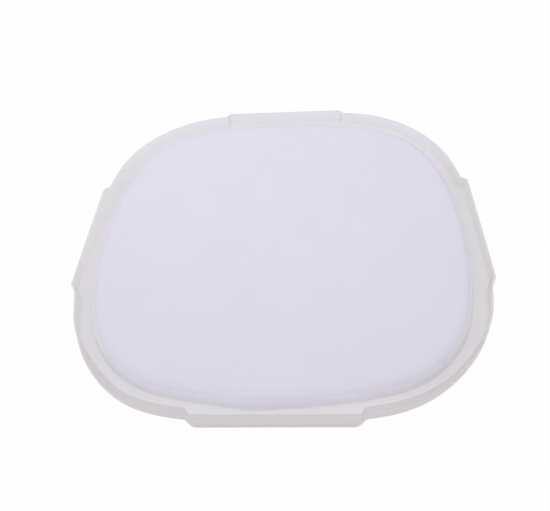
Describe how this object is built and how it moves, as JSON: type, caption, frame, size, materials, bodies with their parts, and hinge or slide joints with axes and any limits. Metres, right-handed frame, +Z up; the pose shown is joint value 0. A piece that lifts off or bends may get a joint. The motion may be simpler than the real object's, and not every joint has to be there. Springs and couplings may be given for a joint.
{
  "type": "wet palette",
  "caption": "Shallow frosted plastic tray with bowed sides and straight tabs, holding a soft water sponge under a sheet of palette paper that keeps paint wet.",
  "frame": {"origin": "middle of the tray's flat underside", "axes": "+Z up through the open top, +X to the user's right, +Y away from the user along the tray's longer side"},
  "size_m": [0.18, 0.1906, 0.0085],
  "materials": {
    "frosted_plastic": "satin",
    "foam": "matte",
    "palette_paper": "matte"
  },
  "bodies": {
    "tray": {"tray": "frosted_plastic"},
    "sponge": {"sponge": "foam"},
    "paper": {"paper": "palette_paper"}
  },
  "joints": [
    {"name": "sponge_lift", "type": "slide", "parent": "tray", "child": "sponge", "axis": [0, 0, 1], "range_m": [0, 0.05]},
    {"name": "paper_lift", "type": "slide", "parent": "sponge", "child": "paper", "axis": [0, 0, 1], "range_m": [0, 0.05]}
  ]
}
